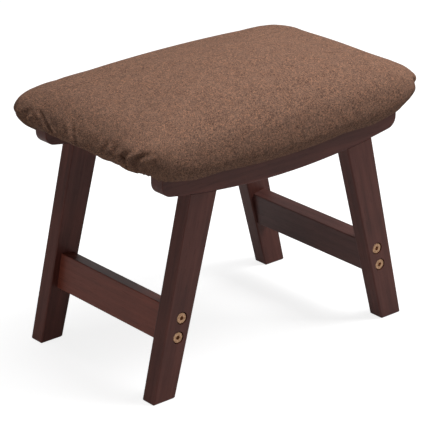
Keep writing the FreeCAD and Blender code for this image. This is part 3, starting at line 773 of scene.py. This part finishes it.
def buildStapleTree(material):
    tree = bpy.data.node_groups.new("stapleLines", "GeometryNodeTree")
    for name, value in staples.items():
        kind = "NodeSocketInt" if isinstance(value, int) else "NodeSocketFloat"
        tree.interface.new_socket(name=name, in_out="INPUT", socket_type=kind)
    tree.interface.new_socket(name="Geometry", in_out="OUTPUT", socket_type="NodeSocketGeometry")
    given = tree.nodes.new("NodeGroupInput").outputs
    index = addNode(tree, "GeometryNodeInputIndex").outputs[0]

    # The wire: four corners of a U, filleted, with a flat section swept along them
    right = math2(tree, "GREATER_THAN", index, 1.5)
    between = math2(tree, "SUBTRACT", given["Crown"], given["Wire Thickness"])
    halfCrown = math2(tree, "MULTIPLY", between, 0.5)
    wireX = math2(tree, "MULTIPLY", math2(tree, "MULTIPLY_ADD", right, 2.0, -1.0), halfCrown)
    fromMiddle = math2(tree, "ABSOLUTE", math2(tree, "SUBTRACT", index, 1.5))
    tip = math2(tree, "GREATER_THAN", fromMiddle, 1.0)
    wireZ = math2(tree, "MULTIPLY", tip, given["Leg"])
    wirePlace = addNode(tree, "ShaderNodeCombineXYZ", {0: wireX, 2: wireZ}).outputs[0]
    corners = addNode(tree, "GeometryNodeMeshLine", {"Count": 4}).outputs[0]
    corners = addNode(tree, "GeometryNodeSetPosition",
                      {"Geometry": corners, "Position": wirePlace}).outputs[0]
    path = addNode(tree, "GeometryNodeMeshToCurve", {0: corners}).outputs[0]
    path = addNode(tree, "GeometryNodeFilletCurve", {"Curve": path, "Radius": given["Bend"], "Count": 3},
                   mode="POLY").outputs[0]
    section = addNode(tree, "GeometryNodeCurvePrimitiveQuadrilateral",
                      {"Width": given["Wire Thickness"], "Height": given["Wire Width"]}).outputs[0]
    wire = addNode(tree, "GeometryNodeCurveToMesh",
                   {"Curve": path, "Profile Curve": section, "Fill Caps": True}).outputs[0]

    parts = tree.nodes.new("GeometryNodeJoinGeometry")
    for alongX in (True, False):
        count = given["Long Count"] if alongX else given["Short Count"]
        run = given["Line X"] if alongX else given["Line Y"]
        for side in (-1.0, 1.0):
            step = math2(tree, "DIVIDE", math2(tree, "MULTIPLY", run, 2.0), count)
            length = math2(tree, "MULTIPLY", step, math2(tree, "SUBTRACT", count, 1.0))
            first = math2(tree, "MULTIPLY", length, -0.5)
            across = math2(tree, "MULTIPLY", given["Line Y"] if alongX else given["Line X"], side)
            start = addNode(tree, "ShaderNodeCombineXYZ",
                            {0: first if alongX else across, 1: across if alongX else first}).outputs[0]
            offset = addNode(tree, "ShaderNodeCombineXYZ", {0 if alongX else 1: step}).outputs[0]
            line = addNode(tree, "GeometryNodeMeshLine",
                           {"Count": count, "Start Location": start, "Offset": offset}).outputs[0]
            position = addNode(tree, "GeometryNodeInputPosition").outputs[0]
            place = addNode(tree, "ShaderNodeSeparateXYZ", {0: position}).outputs
            radiusSquare = math2(tree, "MULTIPLY", given["Curve Radius"], given["Curve Radius"])
            placeSquare = math2(tree, "MULTIPLY", place[0], place[0])
            rise = math2(tree, "SQRT", math2(tree, "SUBTRACT", radiusSquare, placeSquare))
            height = math2(tree, "SUBTRACT", given["Center Height"], rise)
            lifted = addNode(tree, "ShaderNodeCombineXYZ", {0: place[0], 1: place[1], 2: height}).outputs[0]
            line = addNode(tree, "GeometryNodeSetPosition",
                           {"Geometry": line, "Position": lifted}).outputs[0]
            slope = math2(tree, "ARCSINE", math2(tree, "DIVIDE", place[0], given["Curve Radius"]))
            tilt = math2(tree, "MULTIPLY", slope, -1.0)
            wobble = addNode(tree, "FunctionNodeRandomValue",
                             {2: math2(tree, "MULTIPLY", given["Jitter"], -1.0), 3: given["Jitter"],
                              "ID": index, "Seed": given["Seed"]}, data_type="FLOAT").outputs[1]
            turn = wobble if alongX else math2(tree, "ADD", wobble, math.pi / 2)
            spin = addNode(tree, "ShaderNodeCombineXYZ", {1: tilt if alongX else 0.0, 2: turn}).outputs[0]
            placed = addNode(tree, "GeometryNodeInstanceOnPoints",
                             {"Points": line, "Instance": wire, "Rotation": spin}).outputs[0]
            tree.links.new(placed, parts.inputs[0])
    whole = addNode(tree, "GeometryNodeRealizeInstances", {0: parts.outputs[0]}).outputs[0]
    dressed = addNode(tree, "GeometryNodeSetMaterial", {"Geometry": whole, "Material": material}).outputs[0]
    addNode(tree, "NodeGroupOutput", {0: dressed})
    return tree


def makeStaples():
    mesh = bpy.data.meshes.new("staple_lines")
    holder = bpy.data.objects.new("staple_lines", mesh)
    bpy.context.scene.collection.objects.link(holder)
    modifier = holder.modifiers.new("lines", "NODES")
    modifier.node_group = buildStapleTree(zinc)
    for item in modifier.node_group.interface.items_tree:
        if item.in_out == "INPUT":
            modifier[item.identifier] = staples[item.name]
    depsgraph = bpy.context.evaluated_depsgraph_get()
    holder.data = bpy.data.meshes.new_from_object(holder.evaluated_get(depsgraph))
    holder.modifiers.clear()
    turnOutward(holder)
    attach(holder, "root")
    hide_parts("staples")
    return holder


makeDustCover()
stapleLines = makeStaples()
print("dust cover and staples made:", len(stapleLines.data.polygons), "staple faces")


# Stage: floor, world, lamps and the camera. Floor and world are white only to what sees them
stage = {"floorColor": (0.45, 0.45, 0.45, 1), "floorRoughness": 0.9, "floorGlow": 0.84, "floorGlossy": 0.3,
         "floorReach": 6.0, "worldGlossy": 0.35, "worldLight": 0.05, "aim": (0, 0, 0.2)}


def makeStage():
    material, tree, shader = newMaterial("paleFloor")
    shader.inputs["Base Color"].default_value = stage["floorColor"]
    shader.inputs["Roughness"].default_value = stage["floorRoughness"]
    rays = addNode(tree, "ShaderNodeLightPath").outputs
    shader.inputs["Emission Color"].default_value = (1, 1, 1, 1)
    seen = math2(tree, "MULTIPLY_ADD", rays["Is Glossy Ray"], stage["floorGlossy"], rays["Is Camera Ray"])
    tree.links.new(math2(tree, "MULTIPLY", seen, stage["floorGlow"]), shader.inputs["Emission Strength"])
    mesh = bpy.data.meshes.new("floor")
    reach = stage["floorReach"]
    corners = [(-reach, -reach, 0), (reach, -reach, 0), (reach, reach, 0), (-reach, reach, 0)]
    mesh.from_pydata(corners, [], [(0, 1, 2, 3)])
    mesh.materials.append(material)
    floor = bpy.data.objects.new("floor", mesh)
    bpy.context.scene.collection.objects.link(floor)

    world = bpy.data.worlds.new("studio")
    bpy.context.scene.world = world
    world.use_nodes = True
    tree = world.node_tree
    rays = addNode(tree, "ShaderNodeLightPath").outputs
    seen = math2(tree, "MULTIPLY_ADD", rays["Is Glossy Ray"], stage["worldGlossy"], rays["Is Camera Ray"])
    background = tree.nodes["Background"]
    background.inputs["Color"].default_value = (1, 1, 1, 1)
    strength = spread(tree, seen, 0.0, 1.0, stage["worldLight"], 1.0)
    tree.links.new(strength, background.inputs["Strength"])


lamps = [
    {"name": "overhead", "place": (0.0, 0.0, 2.2), "size": 1.0, "power": 17.5},
    {"name": "key", "place": (1.1, -0.7, 1.9), "size": 1.0, "power": 34.0},
    {"name": "lowLeft", "place": (-2.2, -0.6, 0.4), "size": 1.0, "power": 5.0},
]


def makeLamps():
    for lamp in lamps:
        data = bpy.data.lights.new(lamp["name"], "AREA")
        data.shape, data.size, data.energy = "SQUARE", lamp["size"], lamp["power"]
        light = bpy.data.objects.new(lamp["name"], data)
        light.location = lamp["place"]
        light.rotation_euler = (Vector(stage["aim"]) - light.location).to_track_quat("-Z", "Y").to_euler()
        bpy.context.scene.collection.objects.link(light)


view = {"azimuth": -40.1514, "elevation": 22.4142, "roll": -0.2173,
        "place": (-1.680028, -1.986380, 1.226279), "lens": 186.35}


def makeCamera():
    azimuth, elevation, roll = (math.radians(view[key]) for key in ("azimuth", "elevation", "roll"))
    back = Vector((math.sin(azimuth) * math.cos(elevation), -math.cos(azimuth) * math.cos(elevation),
                   math.sin(elevation)))
    level = Vector((math.cos(azimuth), math.sin(azimuth), 0))
    upright = back.cross(level)
    right = level * math.cos(roll) + upright * math.sin(roll)
    up = upright * math.cos(roll) - level * math.sin(roll)
    data = bpy.data.cameras.new("camera")
    data.lens, data.sensor_width = view["lens"], 36.0
    camera = bpy.data.objects.new("camera", data)
    turned = Matrix((right, up, back)).transposed().to_4x4()
    camera.matrix_world = Matrix.Translation(view["place"]) @ turned
    bpy.context.scene.collection.objects.link(camera)
    bpy.context.scene.camera = camera


makeStage()
makeLamps()
makeCamera()
bpy.context.scene.view_settings.view_transform = "Standard"
print("stage, lamps and camera set")

bpy.context.view_layer.update()
